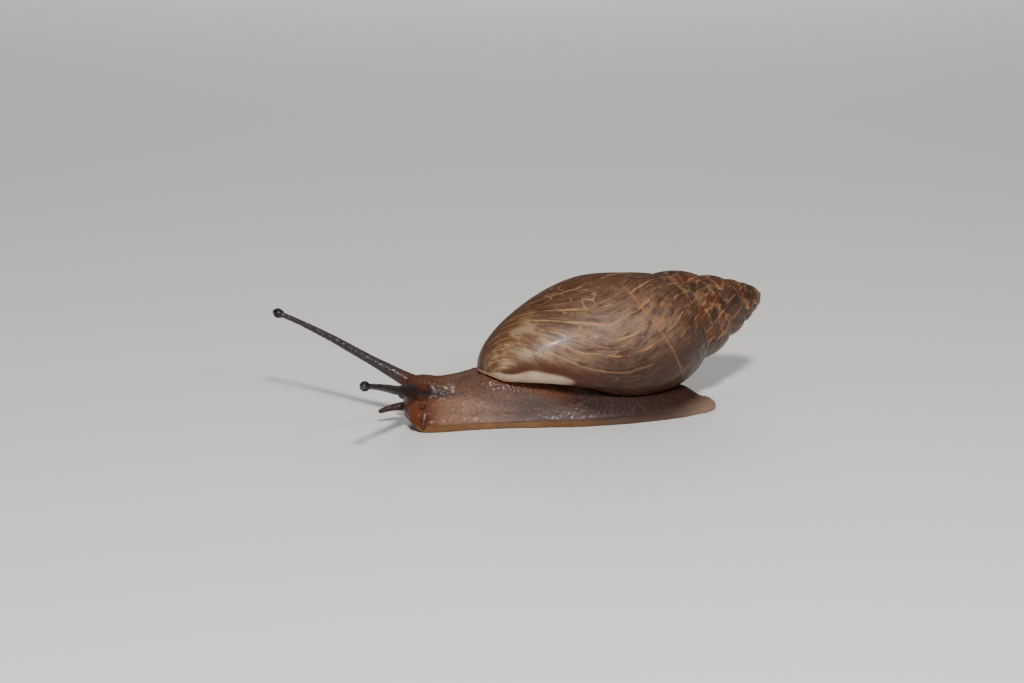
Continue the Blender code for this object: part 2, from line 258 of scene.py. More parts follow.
def scramble(cells, seed):
    """A repeatable value from 0 to 1 for each cell."""
    cells = cells.astype(np.int64)
    mixed = cells[..., 0] * 374761393 + cells[..., 1] * 668265263 + cells[..., 2] * 962287441
    mixed = (mixed + seed * 974634777) & 0xFFFFFFFF
    mixed = ((mixed ^ (mixed >> 13)) * 1274126177) & 0xFFFFFFFF
    mixed = ((mixed ^ (mixed >> 16)) * 2246822519) & 0xFFFFFFFF
    return ((mixed ^ (mixed >> 15)) & 0xFFFFFF) / float(0xFFFFFF)


def clouds(points, seed):
    """Smooth noise from -1 to 1, with cells one unit wide."""
    base = np.floor(points)
    part = points - base
    part = part * part * (3.0 - 2.0 * part)
    total = np.zeros(len(points))
    for corner in product((0, 1), repeat=3):
        share = np.prod(np.where(corner, part, 1.0 - part), axis=1)
        total += share * scramble(base + np.array(corner), seed)
    return 2.0 * total - 1.0


def pebble_depth(points, seed):
    """How far each point is inside its own pebble: 0 in the groove between two."""
    base = np.floor(points)
    nearest = second = np.full(len(points), np.inf)
    for corner in product((-1, 0, 1), repeat=3):
        cell = base + np.array(corner)
        jitter = np.stack([scramble(cell, seed + k) for k in range(3)], axis=1)
        distance = np.linalg.norm(points - cell - PEBBLE_MARGIN - PEBBLE_SPREAD * jitter, axis=1)
        second = np.minimum(second, np.maximum(nearest, distance))
        nearest = np.minimum(nearest, distance)
    return second - nearest


def grooves(points, seed, width):
    """1 along the middle of the grooves between pebbles, 0 from their width on."""
    return 1.0 - ease(pebble_depth(points, seed) / width)


def mesh_object(name, points, faces):
    """A mesh object from points in millimetres, left in millimetres."""
    mesh = bpy.data.meshes.new(name)
    mesh.from_pydata([tuple(p) for p in points], [], faces)
    mesh.update()
    return put_in_scene(name, mesh)


def put_in_scene(name, data):
    obj = bpy.data.objects.new(name, data)
    bpy.context.scene.collection.objects.link(obj)
    return obj


def points_of(mesh):
    flat = np.empty(len(mesh.vertices) * 3)
    mesh.vertices.foreach_get("co", flat)
    return flat.reshape(-1, 3)


def normals_of(mesh):
    flat = np.empty(len(mesh.vertices) * 3, np.float32)
    mesh.vertex_normals.foreach_get("vector", flat)
    return flat.reshape(-1, 3).astype(float)


def set_points(mesh, points):
    mesh.vertices.foreach_set("co", np.asarray(points, np.float32).ravel())
    mesh.update()


def give_values(mesh, domain="POINT", **layers):
    for name, values in layers.items():
        layer = mesh.attributes.new(name, "FLOAT", domain)
        layer.data.foreach_set("value", np.asarray(values, np.float32))


def outward_faces(obj):
    bm = bmesh.new()
    bm.from_mesh(obj.data)
    bmesh.ops.recalc_face_normals(bm, faces=bm.faces)
    bm.to_mesh(obj.data)
    bm.free()
    return obj


def ringed_form(name, points, sides):
    """A closed form from equal rings of points in a row, with a face over each end."""
    last = len(points) - sides
    faces = []
    for start in range(0, last, sides):
        for k in range(sides):
            n = (k + 1) % sides
            faces.append((start + k, start + n, start + sides + n, start + sides + k))
    faces.append(tuple(range(sides)))
    faces.append(tuple(range(last, len(points))))
    return outward_faces(mesh_object(name, points, faces))


def circle(first, second, count):
    """Directions evenly round a circle, from the first toward the second."""
    turn = FULL_TURN * np.arange(count) / count
    return np.outer(np.cos(turn), first) + np.outer(np.sin(turn), second)


def reshape(obj, kind, **settings):
    """Run one modifier over a mesh and keep what it makes."""
    step = obj.modifiers.new(kind.lower(), kind)
    for setting, value in settings.items():
        setattr(step, setting, value)
    bpy.context.view_layer.update()
    graph = bpy.context.evaluated_depsgraph_get()
    mesh = bpy.data.meshes.new_from_object(obj.evaluated_get(graph), preserve_all_data_layers=True,
                                           depsgraph=graph)
    obj.modifiers.clear()
    obj.data = mesh
    return obj


def cut_away(obj, other):
    reshape(obj, "BOOLEAN", operation="DIFFERENCE", solver="MANIFOLD", object=other)
    bpy.data.objects.remove(other)
    return obj


def to_frame(obj):
    """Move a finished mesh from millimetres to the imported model's metres."""
    set_points(obj.data, (points_of(obj.data) - ORIGIN) * MM)
    return obj


# ---- Shell ----

def growth(angle):
    """Size of the shell's section at a spiral angle, as a share of that at the lip."""
    return TURN_GROWTH ** (angle / FULL_TURN)


def inner_wall(angle):
    """0 where the base reaches the front of the shell, 1 inside the opening."""
    return fade(-angle, LEFT_EDGE, WALL_EDGE - LEFT_EDGE)


def base_level(angle):
    """Distance from the apex at which the section ends."""
    spiral = SHELL_HEIGHT * growth(angle)
    tapered = SHELL_HEIGHT - LEFT_BASE_DROP * (angle / LEFT_EDGE) ** BASE_DROP_POWER
    return tapered + (spiral - tapered) * inner_wall(angle)


def shell_section(angle, across):
    """Radius and distance from the apex of points of the sections at spiral angles."""
    angle, across = np.broadcast_arrays(angle, across)
    size = growth(angle)
    side = fade(-angle, TAPER_START, TAPER_SPAN) - inner_wall(angle)
    lower = across > 0.0
    power = np.where(lower, BASE_POWER + (LEFT_BASE_POWER - BASE_POWER) * side, SHOULDER_POWER)
    tall = np.where(lower, base_level(angle) / size - SECTION_LEVEL, SECTION_TALL)
    outward = SECTION_WIDE * np.maximum(np.cos(across), 0.0) ** (2.0 / power)
    onward = signed_power(np.sin(across), 2.0 / power)
    radius = size ** WIDTH_GROWTH * (SECTION_RADIUS + outward
                                     - SECTION_LEAN * SECTION_TALL * onward)
    top = np.maximum(-np.sin(angle), 0.0) ** 2 * (angle > -FULL_TURN)
    low, high = TOP_FLAT_SPAN
    share = np.clip((across - low) / (high - low), 0.0, 1.0)
    radius = radius - TOP_FLAT * top * np.sin(pi * share) ** 2
    level = size * (SECTION_LEVEL + tall * onward) + TOP_SHIFT * top * np.cos(across) ** 2
    return radius, level


def suture_places():
    """Where a section leaves the whorl before it, and where the next whorl covers it."""
    inside, outside = -0.5 * pi, 0.0
    for _ in range(SUTURE_HALVINGS):
        suture = (inside + outside) / 2.0
        radius, level = shell_section(0.0, suture)
        short = max(SECTION_LEVEL - level * TURN_GROWTH, 0.0) / SECTION_TALL
        covered = -np.arcsin(min(short ** (SHOULDER_POWER / 2.0), 1.0))
        if radius * TURN_GROWTH ** WIDTH_GROWTH < shell_section(0.0, covered)[0]:
            inside = suture
        else:
            outside = suture
    return suture, covered


def shell_frame():
    """Directions toward the base of the shell, outward at the lip, and along the turning."""
    flat = cos(SHELL_PITCH)
    onward = np.array((-flat * cos(SHELL_YAW), -flat * sin(SHELL_YAW), -sin(SHELL_PITCH)))
    level = unit(np.cross(UP, -onward))
    down = np.cross(onward, level)
    outward = level * cos(LIP_ROLL) + down * sin(LIP_ROLL)
    return onward, outward, np.cross(onward, outward)


ONWARD, OUTWARD, TURNING = shell_frame()
SUTURE, COVERED = suture_places()


def spiral_points(angle, radius, level):
    """Places in space of points given round the shell's axis."""
    angle, radius, level = (np.asarray(v, float)[..., None] for v in (angle, radius, level))
    out = OUTWARD * np.cos(angle) + TURNING * np.sin(angle)
    return SHELL_APEX + ONWARD * level + out * radius


def spiral_length(angle):
    """Length along the growing edge of the shell, in millimetres, up to an angle."""
    rate = WIDTH_GROWTH * np.log(TURN_GROWTH) / FULL_TURN
    return (SECTION_RADIUS + SECTION_WIDE) / rate * np.exp(rate * angle)


def growth_line(length, below, level):
    """Where along the growing edge the growth line through each point starts."""
    sweep = GROWTH_SWEEP * np.maximum(level - GROWTH_SWEEP_LEVEL, 0.0) ** 2
    past = np.log1p(np.exp((below - GROWTH_BEND) / GROWTH_BEND_SOFTNESS))
    return length + GROWTH_SLANT * (below - GROWTH_BEND_SOFTNESS * past) - sweep


def flat_clouds(along, across, seed):
    return clouds(np.stack([along, across, 0.0 * along], axis=1), seed)


def growth_relief(line, below):
    ridge = line + RIDGE_SWAY * flat_clouds(line * 0.1, below * 0.16, 3)
    return sum(height * flat_clouds(ridge / spacing, below * wander, seed)
               for seed, (height, spacing, wander) in enumerate(GROWTH_RIDGES, 5))


def build_whorls(name, steps, spire_rows, base_rows, grow=0.0):
    """All whorls as one closed solid, and the grid of steps and rows that it is made on."""
    last = TURNS * steps
    angles = (np.arange(last + 1) - last) / steps * FULL_TURN
    spire = SUTURE + (COVERED - SUTURE) * np.arange(spire_rows + 1) / spire_rows
    base = COVERED + (0.5 * pi - COVERED) * np.arange(1, base_rows + 1) / base_rows
    across = np.concatenate([spire, base])
    rows = len(across)
    radius, level = shell_section(angles[:, None], across[None, :])
    radius[:, -1] = np.maximum(radius[:, -1], COLUMELLA_RADIUS)
    level[:, -1] += grow
    places = spiral_points(angles[:, None] + 0.0 * radius, radius + grow, level)
    axis = SHELL_APEX + ONWARD * (base_level(angles) + grow)[:, None]
    for i in range(last, steps - 1, -1):
        places[i, 0] = places[i - steps, spire_rows]

    ids = np.zeros((last + 1, rows + 1), int)
    points = [SHELL_APEX + ONWARD * (APEX_LEVEL - grow)]
    owners = [(0, 0)]
    for i in range(last + 1):
        full = i >= last - steps
        ids[i, 0] = 0 if i < steps else ids[i - steps, spire_rows]
        kept = rows if full else spire_rows + 1
        for k in range(1, kept):
            ids[i, k] = len(points)
            points.append(places[i, k])
            owners.append((i, k))
        if full:
            ids[i, rows] = len(points)
            points.append(axis[i])
            owners.append((i, rows))

    corners = []
    for i in range(last):
        kept = rows if i >= last - steps else spire_rows
        for k in range(kept):
            loop = []
            for a, b in ((i, k), (i, k + 1), (i + 1, k + 1), (i + 1, k)):
                if ids[a, b] not in [ids[c] for c in loop]:
                    loop.append((a, b))
            corners.append(loop)
    corners.append([(0, k) for k in range(spire_rows + 1)])
    opening = [(last, k) for k in range(rows + 1)]
    opening += [(i, rows) for i in range(last - 1, last - steps, -1)]
    opening += [(last - steps, k) for k in range(rows, spire_rows, -1)]
    corners.append(opening)
    obj = mesh_object(name, points, [[int(ids[c]) for c in loop] for loop in corners])
    return obj, (angles, places, level, corners, owners, steps, spire_rows)


def ridge_whorls(obj, grid):
    """Raise the growth ridges, and note where on the shell every corner is."""
    angles, places, level, corners, owners, steps, edge_row = grid
    rows = places.shape[1]
    lengths = np.zeros((len(angles), rows + 1))
    lengths[:, 1:rows] = np.cumsum(np.linalg.norm(np.diff(places, axis=1), axis=2), axis=1)
    lengths[:steps] -= lengths[:steps, 1:2]
    lengths[:, rows] = lengths[:, rows - 1] + COLUMELLA_RADIUS
    lengths = np.maximum(lengths, 0.0)
    levels = np.concatenate([level, base_level(angles)[:, None]], axis=1)
    lines = growth_line(spiral_length(angles)[:, None], lengths, levels)

    step, row = np.array([c for loop in corners for c in loop]).T
    turned = angles[step]
    below = lengths[step, row]
    covered_later = turned <= -FULL_TURN + 1e-6
    above = np.where(covered_later, lengths[step, edge_row] - below, NO_SUTURE)
    give_values(obj.data, "CORNER", growth_line=lines[step, row], turn=turned / FULL_TURN,
                below_suture=below, above_suture=above, level=levels[step, row])

    step, row = np.array(owners).T
    turned = angles[step]
    below = lengths[step, row]
    size = growth(turned)
    height = growth_relief(lines[step, row], below)
    height *= np.minimum(1.0, size * SPIRE_RELIEF)
    height *= fade(turned, -FULL_TURN * TURNS, TIP_FADE)
    height *= 1.0 - ease((-turned - GLAZE_START) / GLAZE_FADE / pi) * (turned > -GLAZE_END)
    crinkle = flat_clouds(spiral_length(turned) / FRILL_WIDTH, below * 0.0, 9)
    near_edge = bell(below, FRILL_WIDTH * np.sqrt(size)) * (row > 0) * (row <= edge_row)
    height += near_edge * (FRILL_HEIGHT + FRILL_CRINKLE * crinkle) * np.sqrt(size)
    set_points(obj.data, points_of(obj.data) + normals_of(obj.data) * height[:, None])


def wall_width(radii, levels):
    """How much wider than its thickness a wall is, measured across the axis."""
    return np.minimum(np.sqrt(1.0 + np.gradient(radii, levels) ** 2), MOST_LEAN)


def hollow_section(angle, clearance, reach):
    """Levels, inner radii and outer radii of the room in the shell at one angle."""
    across = np.linspace(-0.5 * pi, 0.5 * pi, SECTION_SAMPLES)
    outer_radius, outer_level = shell_section(angle, across)
    levels = np.linspace(outer_level[0] + 0.01, outer_level[-1] - 0.01, LEVEL_SAMPLES)
    outer = np.interp(levels, outer_level, outer_radius)
    outer = outer - (LIP_THICKNESS + clearance) * wall_width(outer, levels)
    inner_radius, inner_level = shell_section(angle - FULL_TURN, across)
    inner = np.interp(levels, inner_level, inner_radius, left=0.0, right=0.0)
    wall = (CALLUS + clearance) * wall_width(inner, levels)
    inner = np.where(inner > 0.0, inner + wall, 0.0)
    inner = np.maximum(inner, PILLAR_RADIUS + clearance)
    outer = inner + (outer - inner) * reach
    wide = np.flatnonzero(outer - inner > LEAST_HOLLOW)
    kept = np.linspace(levels[wide[0]], levels[wide[-1]], HOLLOW_ROWS)
    return kept, np.interp(kept, levels, inner), np.interp(kept, levels, outer)


def build_hollow(name, start, end, clearance=0.0, reach=1.0):
    """The room inside the opening, as a closed solid from one spiral angle to another."""
    points = []
    for angle in np.linspace(start, end, HOLLOW_STEPS):
        levels, inner, outer = hollow_section(angle, clearance, reach)
        level = np.concatenate([levels, levels[::-1]])
        radius = np.concatenate([inner, outer[::-1]])
        points.extend(spiral_points(angle + 0.0 * level, radius, level))
    return ringed_form(name, points, 2 * HOLLOW_ROWS)


def trim_front(obj, material=None):
    """Take off what reaches below the slanting front of the lip."""
    across = unit(np.cross(LIP_CUT_UP, (0.0, 1.0, 0.0)))
    depth = np.cross(LIP_CUT_UP, across)
    points = [LIP_CUT_POINT + across * a + depth * b - LIP_CUT_UP * drop
              for drop in (0.0, LIP_CUT_DEPTH) for a, b in LIP_CUT_ENDS]
    block = ringed_form("front_block", points, len(LIP_CUT_ENDS))
    if material:
        block.data.materials.append(material)
    return cut_away(obj, block)


def build_shell(outer_material, inner_material):
    shell, grid = build_whorls("shell_whorls", *FINE_WHORLS)
    ridge_whorls(shell, grid)
    outward_faces(shell)
    shell.data.materials.append(outer_material)
    give_values(shell.data, lip_rim=(points_of(shell.data) - LIP_CUT_POINT) @ LIP_CUT_UP)
    hollow = build_hollow("hollow", OPENING_DEPTH, OPENING_FRONT)
    hollow.data.materials.append(inner_material)
    cut_away(shell, hollow)
    trim_front(shell, inner_material)
    shell.data.shade_smooth()
    shell.data.set_sharp_from_angle(angle=SHARP_EDGE)
    return to_frame(shell)


def shell_room():
    """The room that the shell takes up in the flesh."""
    room, _ = build_whorls("room", *PLAIN_WHORLS, grow=SHELL_CLEARANCE)
    return trim_front(outward_faces(room))


# ---- Flesh ----

def hermite(before, start, end, after, share):
    """A point of the smooth curve through four points, between the middle two."""
    leave, arrive = (end - before) / 2, (after - start) / 2
    t2, t3 = share ** 2, share ** 3
    return ((2 * t3 - 3 * t2 + 1) * start + (t3 - 2 * t2 + share) * leave
            + (3 * t2 - 2 * t3) * end + (t3 - t2) * arrive)


def station(x):
    """Half width, lowest level, top level and pinch of the body at a place along X."""
    last = len(BODY_STATIONS) - 1
    i = max(j for j in range(last) if BODY_STATIONS[j][0] <= x or j == 0)
    rows = [np.array(BODY_STATIONS[min(max(i + j, 0), last)]) for j in (-1, 0, 1, 2)]
    share = (x - rows[1][0]) / (rows[2][0] - rows[1][0])
    return hermite(*rows, share)[1:]


def build_loft(name):
    """The animal without its shell and feelers, over a flat sole."""
    start, end = BODY_STATIONS[0][0], BODY_STATIONS[-1][0]
    turn = pi * np.arange(BODY_SIDES + 1) / BODY_SIDES
    points = []
    for i in range(BODY_SLICES + 1):
        eased = 0.5 - 0.5 * cos(pi * i / BODY_SLICES)
        share = END_CROWDING * eased + (1.0 - END_CROWDING) * i / BODY_SLICES
        x = start + (end - start) * share
        wide, low, high, pinch = station(x)
        low = max(low, 0.0)
        y = wide * signed_power(np.cos(turn), BODY_ROUNDNESS * pinch)
        z = low + (high - low) * np.abs(np.sin(turn)) ** (BODY_ROUNDNESS * sqrt(pinch))
        points.extend(np.stack([x + 0.0 * y, y, z], axis=1))
    return ringed_form(name, points, BODY_SIDES + 1)


def along(points, radii):
    """Points and radii of a smooth curve through the given ones."""
    places = [np.array(p) for p in points]
    last = len(places) - 1
    line, sizes = [places[0]], [radii[0]]
    for i in range(last):
        ends = places[max(i - 1, 0)], places[i], places[i + 1], places[min(i + 2, last)]
        for k in range(1, LIMB_STEPS + 1):
            line.append(hermite(*ends, k / LIMB_STEPS))
            sizes.append(radii[i] + (radii[i + 1] - radii[i]) * k / LIMB_STEPS)
    return line, sizes


def heading(line):
    return unit(line[-1] - line[-2])


def tube(name, line, sizes, sides=LIMB_SIDES):
    """A closed round limb along a line of points, with a radius at each."""
    tangents = np.gradient(np.array(line), axis=0)
    tangents /= np.linalg.norm(tangents, axis=1)[:, None]
    side = np.cross(tangents[0], UP)
    points = []
    for centre, tangent, size in zip(line, tangents, sizes):
        side = unit(side - tangent * side.dot(tangent))
        points.extend(centre + size * circle(side, np.cross(tangent, side), sides))
    return ringed_form(name, points, sides)


def feeler_lines():
    """Centre lines and radii of all the tentacles and palps, with the bulbs' ends."""
    limbs = {}
    tips = {}
    for side, points in UPPER_LINES.items():
        line, sizes = along(points, UPPER_RADII)
        ahead, end = heading(line), line[-1]
        tips[side] = (end, ahead)
        for reach, share in BULB_PROFILE:
            line.append(end + ahead * reach)
            sizes.append(BULB_RADIUS * share)
        limbs["upper_" + side] = (line, sizes)
    for name, (points, radii) in BLUNT_LIMBS.items():
        line, sizes = along(points, radii)
        ahead, end, size = heading(line), line[-1], sizes[-1]
        for rise in DOME_RISES:
            line.append(end + ahead * (size * sin(rise)))
            sizes.append(size * cos(rise))
        limbs[name] = (line, sizes)
    return limbs, tips


def nearness(points, line, sizes):
    """Share of the way along a limb's line, and distance from it over its radius."""
    line, sizes = np.array(line), np.array(sizes)
    best = np.full(len(points), np.inf)
    share = np.zeros(len(points))
    for i in range(len(line) - 1):
        step = line[i + 1] - line[i]
        part = np.clip((points - line[i]) @ step / step.dot(step), 0.0, 1.0)
        distance = np.linalg.norm(points - line[i] - part[:, None] * step, axis=1)
        distance = distance / (sizes[i] + (sizes[i + 1] - sizes[i]) * part)
        closer = distance < best
        best = np.where(closer, distance, best)
        share = np.where(closer, (i + part) / (len(line) - 1), share)
    return share, best


def largest_island(obj):
    bm = bmesh.new()
    bm.from_mesh(obj.data)
    left = set(bm.verts)
    islands = []
    while left:
        queue = [left.pop()]
        island = list(queue)
        while queue:
            near = {vertex for edge in queue.pop().link_edges for vertex in edge.verts} & left
            left -= near
            island += near
            queue += near
        islands.append(island)
    spare = set(bm.verts).difference(max(islands, key=len))
    bmesh.ops.delete(bm, geom=list(spare), context="VERTS")
    bm.to_mesh(obj.data)
    bm.free()


def swelling(name, points, radii):
    """A soft fold of the mantle, cut back to clear the shell."""
    return cut_away(tube(name, *along(points, radii), sides=COLLAR_SIDES), shell_room())


def blend_collar(skin):
    """Smooth the swelling under the lip into the neck."""
    places = (points_of(skin.data) - np.array(COLLAR_CENTRE)) / np.array(COLLAR_REACH)
    weights = 1.0 - fade(np.linalg.norm(places, axis=1), 0.55, 0.45)
    group = skin.vertex_groups.new(name="collar")
    for index in np.flatnonzero(weights > 0.01):
        group.add([int(index)], float(weights[index]), "REPLACE")
    reshape(skin, "SMOOTH", vertex_group=group.name, factor=0.5, iterations=COLLAR_SMOOTHING)


def smooth_skin(limbs):
    """All the flesh as one even skin in millimetres, still without its relief."""
    skin = cut_away(build_loft("skin"), shell_room())
    collar = swelling("collar", COLLAR, COLLAR_RADII)
    rim = build_hollow("mantle_rim", MANTLE_DEPTH, MANTLE_RIM, MANTLE_CLEARANCE)
    core = build_hollow("mantle_core", MANTLE_DEPTH, MANTLE_CORE, MANTLE_CLEARANCE, MANTLE_CORE_WIDTH)
    low = swelling("collar_low", COLLAR_LOW, COLLAR_LOW_RADII)
    parts = [skin, collar, low, rim, core]
    for name, (line, sizes) in limbs.items():
        parts.append(tube(name, line, [s + LIMB_SPARE for s in sizes]))
    with bpy.context.temp_override(active_object=skin, selected_editable_objects=parts):
        bpy.ops.object.join()
    reshape(skin, "REMESH", mode="VOXEL", voxel_size=SKIN_VOXEL)
    reshape(skin, "SMOOTH", factor=0.5, iterations=SKIN_SMOOTHING)
    largest_island(skin)
    blend_collar(skin)
    return skin


def closeness(points, other, reach):
    """1 where points touch another mesh, 0 at their reach away from it."""
    tree = BVHTree.FromPolygons([tuple(p) for p in points_of(other.data)],
                                [tuple(f.vertices) for f in other.data.polygons])
    away = np.array([tree.find_nearest(tuple(p))[3] for p in points])
    bpy.data.objects.remove(other)
    return 1.0 - fade(away / reach, 0.15, 0.85)


def limb_shares(points, limbs):
    """How far each point belongs to a feeler, to a palp and to a tentacle's bulb."""
    feeler, palp, bulb = np.zeros((3, len(points)))
    for name, (line, sizes) in limbs.items():
        share, near = nearness(points, line, sizes)
        upper = name.startswith("upper")
        grip = fade(share, 0.1 if upper else 0.05, 0.12) * (1.0 - fade(near, 1.15, 0.5))
        if name in PRESSED_LIMBS:
            grip = PRESSED_SHARE * grip
        feeler = np.maximum(feeler, grip)
        if name.startswith("palp"):
            palp = np.maximum(palp, grip)
        if upper:
            bulb = np.maximum(bulb, grip * fade(share, 0.8, 0.05))
    return feeler, palp, bulb


def build_skin(material):
    limbs, _ = feeler_lines()
    skin = smooth_skin(limbs)
    points = points_of(skin.data)
    normals = normals_of(skin.data)
    feeler, palp, bulb = limb_shares(points, limbs)
    x, y, z = points.T
    sole = fade(-normals[:, 2], 0.5, 0.3) * (z < 0.6)
    body = (1.0 - feeler) * (1.0 - sole)
    side = np.clip(np.abs(normals[:, 1]) * 1.2, 0.0, 1.0)
    over_fringe = z - (FRINGE_TOP + FRINGE_WAVE * clouds(points * 0.3, 21))
    fringe = (1.0 - fade(over_fringe, -0.12, 0.24)) * body
    plain = body * (1.0 - fringe)

    # Pebbles: slanting ones on the body, small ones on the feelers, upright ones low on the side.
    slant = np.stack([(x + 0.5 * z) / 1.15, y / 0.8, (z - 0.25 * x) / 0.72], axis=1)
    warp = np.stack([clouds(points / 2.2, 31 + k) for k in range(3)], axis=1)
    slanting = grooves(slant + 0.2 * warp, 40, 0.3)
    small = grooves(points / 0.5, 50, 0.35)
    upright = grooves(np.stack([x / 0.85, y / 2.0, z / 1.7], axis=1), 60, 0.35)
    skirt = fade(z, 0.9, 0.4) * (1.0 - fade(z, 2.0, 1.2)) * side
    net = slanting * (1.0 - skirt) + 0.6 * upright * skirt
    fringe_line = bell(over_fringe, FRINGE_LINE_WIDTH) * side * body
    mouth = bell(y, MOUTH_SIZE[0]) * bell(z - MOUTH_LEVEL, MOUTH_SIZE[1]) * (x < -1.2) * (1.0 - feeler)

    relief = SWELL * (clouds(points / 3.6, 71) + 0.3 * clouds(points / 1.8, 72)) * body
    relief -= (NET_DEPTH - NET_LOSS * fade(x, 8.0, 8.0)) * net * plain
    relief -= FEELER_NET_DEPTH * small * feeler
    relief -= FRINGE_NET_DEPTH * upright * fringe
    relief -= FRINGE_LINE_DEPTH * fringe_line
    relief += FRINGE_RISE * fringe * side
    relief += SIDE_RISE * np.exp(-np.maximum(over_fringe, 0.0) / SIDE_RISE_FALL) * plain * side
    relief -= MOUTH_DEPTH * mouth
    relief *= 1.0 - sole
    points = points + normals * relief[:, None]
    points[:, 2] = np.where(points[:, 2] < SOLE_LEVEL, 0.0, points[:, 2])
    set_points(skin.data, points)

    streak = bell(z - STREAK_LEVEL + STREAK_FALL * (x - 2.0), STREAK_WIDTH) * side * (y < 0.0)
    streak = streak * fade(x, -3.0, 2.0) * (1.0 - fade(x, 2.0, 7.0))
    # Painted shade: the flesh is browned the nearer it lies to the shell, on the near side and toward the
    # rear.
    front_reach, rear_reach = SHADE_REACH
    reach = front_reach + (rear_reach - front_reach) * fade(x, 12.0, 14.0)
    shade = closeness(points, shell_room(), reach) * np.maximum(fade(-y, 1.0, 1.0), fade(x, 20.0, 6.0))
    soft_fringe = (1.0 - fade(over_fringe, -0.35, 0.65)) * body * (1.0 - 0.7 * fade(x, 24.0, 12.0))
    give_values(skin.data, shade=shade, feeler=feeler, palp=palp, fringe=soft_fringe,
                net=np.maximum(net * plain + small * feeler * 0.7, fringe_line * 0.8),
                streak=np.maximum(streak, 0.85 * bulb))
    skin.data.materials.clear()
    skin.data.materials.append(material)
    skin.data.shade_smooth()
    return to_frame(skin)


def build_eye(side, end, ahead, material):
    """A dark glossy dome set in the end of a tentacle's bulb."""
    across = unit(np.cross(ahead, UP))
    ring = circle(across, np.cross(ahead, across), EYE_SIDES)
    centre = end + ahead * EYE_CENTRE
    points = []
    for k in range(EYE_ROWS):
        rise = EYE_LOW * pi + (EYE_HIGH - EYE_LOW) * pi * k / (EYE_ROWS - 1)
        level = EYE_RADIUS * EYE_FLATNESS * sin(rise)
        points.extend(centre + ahead * level + ring * (EYE_RADIUS * cos(rise)))
    eye = ringed_form(side + "_eye", points, EYE_SIDES)
    eye.data.shade_smooth()
    eye.data.materials.append(material)
    return to_frame(eye)


# ---- Finishes ----

MIX_MASK, MIX_UNDER, MIX_OVER, MIX_RESULT = 0, 6, 7, 2  # places of a Mix node's colour sockets


def tone(red, green, blue):
    """A colour from its screen values, 0 to 255."""
    channels = []
    for value in (red, green, blue):
        value = value / 255.0
        channels.append(value / 12.92 if value <= 0.04045 else ((value + 0.055) / 1.055) ** 2.4)
    return (*channels, 1.0)


class Paint:
    """A value, colour or vector of one finish; sums of values add Math nodes."""

    def __init__(self, tree, socket=None):
        self.tree = tree
        self.socket = socket

    def feed(self, node, links):
        for key, value in links.items():
            if isinstance(value, Paint):
                self.tree.links.new(value.socket, node.inputs[key])
            else:
                node.inputs[key].default_value = value

    def node(self, kind, settings=None, links=None, out=0):
        """Any node: its settings first, then its sockets' values or links; one output."""
        made = self.tree.nodes.new("ShaderNode" + kind)
        for setting, value in (settings or {}).items():
            setattr(made, setting, value)
        self.feed(made, links or {})
        return Paint(self.tree, made.outputs[out])

    def math(self, operation, *values):
        return self.node("Math", {"operation": operation}, dict(enumerate(values)))

    def __add__(self, other):
        return self.math("ADD", self, other)

    def __radd__(self, other):
        return self.math("ADD", other, self)

    def __sub__(self, other):
        return self.math("SUBTRACT", self, other)

    def __rsub__(self, other):
        return self.math("SUBTRACT", other, self)

    def __mul__(self, other):
        return self.math("MULTIPLY", self, other)

    def __rmul__(self, other):
        return self.math("MULTIPLY", other, self)

    def at_least(self, value):
        return self.math("MAXIMUM", self, value)

    def at_most(self, value):
        return self.math("MINIMUM", self, value)

    def absolute(self):
        return self.math("ABSOLUTE", self)

    def rise(self, low, high):
        """Ease from 0 to 1 as this value goes from low to high."""
        links = {"Value": self, "From Min": low, "From Max": high}
        return self.node("MapRange", {"interpolation_type": "SMOOTHSTEP"}, links)

    def values_of(self, *names):
        return [self.node("Attribute", {"attribute_name": name}, out="Fac") for name in names]

    def place(self):
        return self.node("TexCoord", out="Object")

    def vector(self, x, y, z):
        return self.node("CombineXYZ", links={"X": x, "Y": y, "Z": z})

    def noise(self, vector, scale, detail=2.0, roughness=0.5):
        links = {"Vector": vector, "Scale": scale, "Detail": detail, "Roughness": roughness}
        return self.node("TexNoise", {"noise_dimensions": "3D"}, links)

    def grain(self, along, across, seed, detail=2.0, roughness=0.5):
        """Noise over two measures of the surface; each seed gives a grain of its own."""
        return self.noise(self.vector(along, across, seed), 1.0, detail, roughness)

    def cells(self, vector, scale, feature, out="Distance"):
        return self.node("TexVoronoi", {"feature": feature}, {"Vector": vector, "Scale": scale}, out)

    def colour(self, red, green, blue):
        made = self.node("RGB")
        made.socket.default_value = tone(red, green, blue)
        return made

    def coats(self, *layers):
        """This colour with others, painted or as screen values, laid over it where their masks are 1."""
        top = self
        for mask, *colour in layers:
            coat = colour[0] if len(colour) == 1 else tone(*colour)
            links = {MIX_MASK: mask, MIX_UNDER: top, MIX_OVER: coat}
            top = self.node("Mix", {"data_type": "RGBA"}, links, MIX_RESULT)
        return top

    def bump(self, height, distance, strength, normal=None):
        links = {"Height": height, "Distance": distance, "Strength": strength}
        if normal is not None:
            links["Normal"] = normal
        return self.node("Bump", links=links)


def new_finish(name):
    material = bpy.data.materials.new(name)
    material.use_nodes = True
    tree = material.node_tree
    return material, Paint(tree), tree.nodes["Principled BSDF"]


